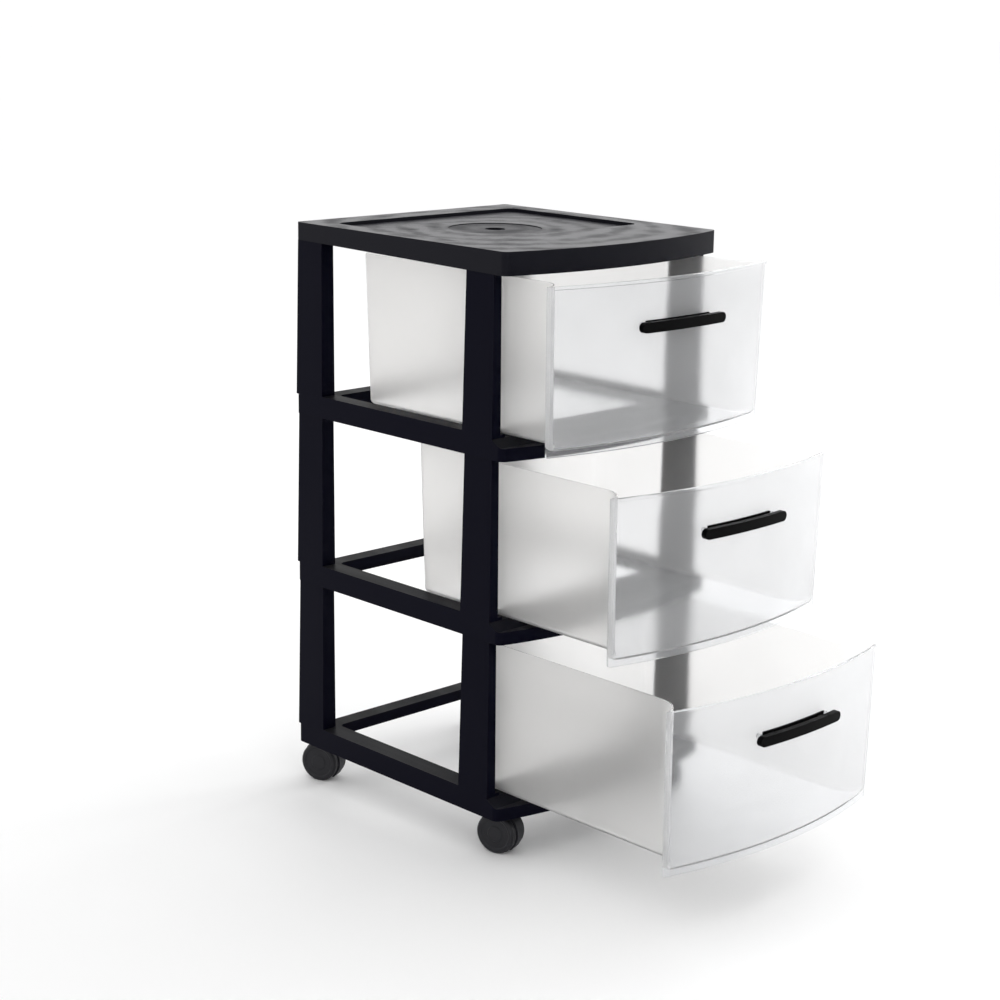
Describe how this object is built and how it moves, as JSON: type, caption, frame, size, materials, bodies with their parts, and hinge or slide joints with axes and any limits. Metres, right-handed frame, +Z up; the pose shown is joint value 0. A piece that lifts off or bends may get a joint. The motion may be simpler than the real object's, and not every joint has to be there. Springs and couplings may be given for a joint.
{
  "type": "rolling drawer cart",
  "caption": "Rolling storage cart: a black three-tier moulded frame on twin-wheel swivel casters, with bow-fronted translucent drawers on runners and bar handles.",
  "frame": {"origin": "on the floor, below the centre of the whole outline with the drawers open as stored", "axes": "+Z up, the drawers open towards -Y, +X to the right of someone facing the back of the cart from the front"},
  "size_m": [0.324, 0.6086, 0.64],
  "materials": {
    "frame_black": "semi-matte moulded polypropylene, near black with a faint blue cast",
    "drawer_clear": "frosted translucent polypropylene",
    "handle_black": "satin, deep black",
    "plug_black": "matte",
    "pin_steel": "drawn wire",
    "hood_grey": "matte charcoal",
    "wheel_grey": "matte charcoal"
  },
  "bodies": {
    "frame": {"table_top": "frame_black", "tier_lower": "frame_black", "tier_middle": "frame_black", "tier_upper": "frame_black", "caster_plug_front_left": "plug_black", "caster_plug_front_right": "plug_black", "caster_plug_rear_left": "plug_black", "caster_plug_rear_right": "plug_black", "caster_stem_front_left": "pin_steel", "caster_stem_front_right": "pin_steel", "caster_stem_rear_left": "pin_steel", "caster_stem_rear_right": "pin_steel"},
    "drawer_lower": {"drawer_lower": "drawer_clear", "handle_lower": "handle_black"},
    "drawer_middle": {"drawer_middle": "drawer_clear", "handle_middle": "handle_black"},
    "drawer_upper": {"drawer_upper": "drawer_clear", "handle_upper": "handle_black"},
    "caster_front_left": {"caster_hood_front_left": "hood_grey", "caster_axle_front_left": "pin_steel"},
    "wheel_front_left_near": {"wheel_front_left_near": "wheel_grey"},
    "wheel_front_left_far": {"wheel_front_left_far": "wheel_grey"},
    "caster_front_right": {"caster_hood_front_right": "hood_grey", "caster_axle_front_right": "pin_steel"},
    "wheel_front_right_near": {"wheel_front_right_near": "wheel_grey"},
    "wheel_front_right_far": {"wheel_front_right_far": "wheel_grey"},
    "caster_rear_left": {"caster_hood_rear_left": "hood_grey", "caster_axle_rear_left": "pin_steel"},
    "wheel_rear_left_near": {"wheel_rear_left_near": "wheel_grey"},
    "wheel_rear_left_far": {"wheel_rear_left_far": "wheel_grey"},
    "caster_rear_right": {"caster_hood_rear_right": "hood_grey", "caster_axle_rear_right": "pin_steel"},
    "wheel_rear_right_near": {"wheel_rear_right_near": "wheel_grey"},
    "wheel_rear_right_far": {"wheel_rear_right_far": "wheel_grey"}
  },
  "joints": [
    {"name": "drawer_lower_slide", "type": "slide", "parent": "frame", "child": "drawer_lower", "axis": [0, -1, 0], "range_m": [-0.232, 0.018]},
    {"name": "drawer_middle_slide", "type": "slide", "parent": "frame", "child": "drawer_middle", "axis": [0, -1, 0], "range_m": [-0.152, 0.098]},
    {"name": "drawer_upper_slide", "type": "slide", "parent": "frame", "child": "drawer_upper", "axis": [0, -1, 0], "range_m": [-0.062, 0.188]},
    {"name": "caster_front_left_swivel", "type": "hinge", "parent": "frame", "child": "caster_front_left", "pos_m": [-0.13, 0.00167, 0.05], "axis": [0, 0, 1], "continuous": true},
    {"name": "wheel_front_left_near_spin", "type": "hinge", "parent": "caster_front_left", "child": "wheel_front_left_near", "pos_m": [-0.12691, -0.00784, 0.022], "axis": [0.9511, 0.309, 0], "continuous": true},
    {"name": "wheel_front_left_far_spin", "type": "hinge", "parent": "caster_front_left", "child": "wheel_front_left_far", "pos_m": [-0.12691, -0.00784, 0.022], "axis": [0.9511, 0.309, 0], "continuous": true},
    {"name": "caster_front_right_swivel", "type": "hinge", "parent": "frame", "child": "caster_front_right", "pos_m": [0.13, 0.00167, 0.05], "axis": [0, 0, 1], "continuous": true},
    {"name": "wheel_front_right_near_spin", "type": "hinge", "parent": "caster_front_right", "child": "wheel_front_right_near", "pos_m": [0.12691, -0.00784, 0.022], "axis": [0.9511, -0.309, 0], "continuous": true},
    {"name": "wheel_front_right_far_spin", "type": "hinge", "parent": "caster_front_right", "child": "wheel_front_right_far", "pos_m": [0.12691, -0.00784, 0.022], "axis": [0.9511, -0.309, 0], "continuous": true},
    {"name": "caster_rear_left_swivel", "type": "hinge", "parent": "frame", "child": "caster_rear_left", "pos_m": [-0.13, 0.27017, 0.05], "axis": [0, 0, 1], "continuous": true},
    {"name": "wheel_rear_left_near_spin", "type": "hinge", "parent": "caster_rear_left", "child": "wheel_rear_left_near", "pos_m": [-0.13375, 0.27944, 0.022], "axis": [-0.9272, -0.3746, 0], "continuous": true},
    {"name": "wheel_rear_left_far_spin", "type": "hinge", "parent": "caster_rear_left", "child": "wheel_rear_left_far", "pos_m": [-0.13375, 0.27944, 0.022], "axis": [-0.9272, -0.3746, 0], "continuous": true},
    {"name": "caster_rear_right_swivel", "type": "hinge", "parent": "frame", "child": "caster_rear_right", "pos_m": [0.13, 0.27017, 0.05], "axis": [0, 0, 1], "continuous": true},
    {"name": "wheel_rear_right_near_spin", "type": "hinge", "parent": "caster_rear_right", "child": "wheel_rear_right_near", "pos_m": [0.13375, 0.27944, 0.022], "axis": [-0.9272, 0.3746, 0], "continuous": true},
    {"name": "wheel_rear_right_far_spin", "type": "hinge", "parent": "caster_rear_right", "child": "wheel_rear_right_far", "pos_m": [0.13375, 0.27944, 0.022], "axis": [-0.9272, 0.3746, 0], "continuous": true}
  ]
}
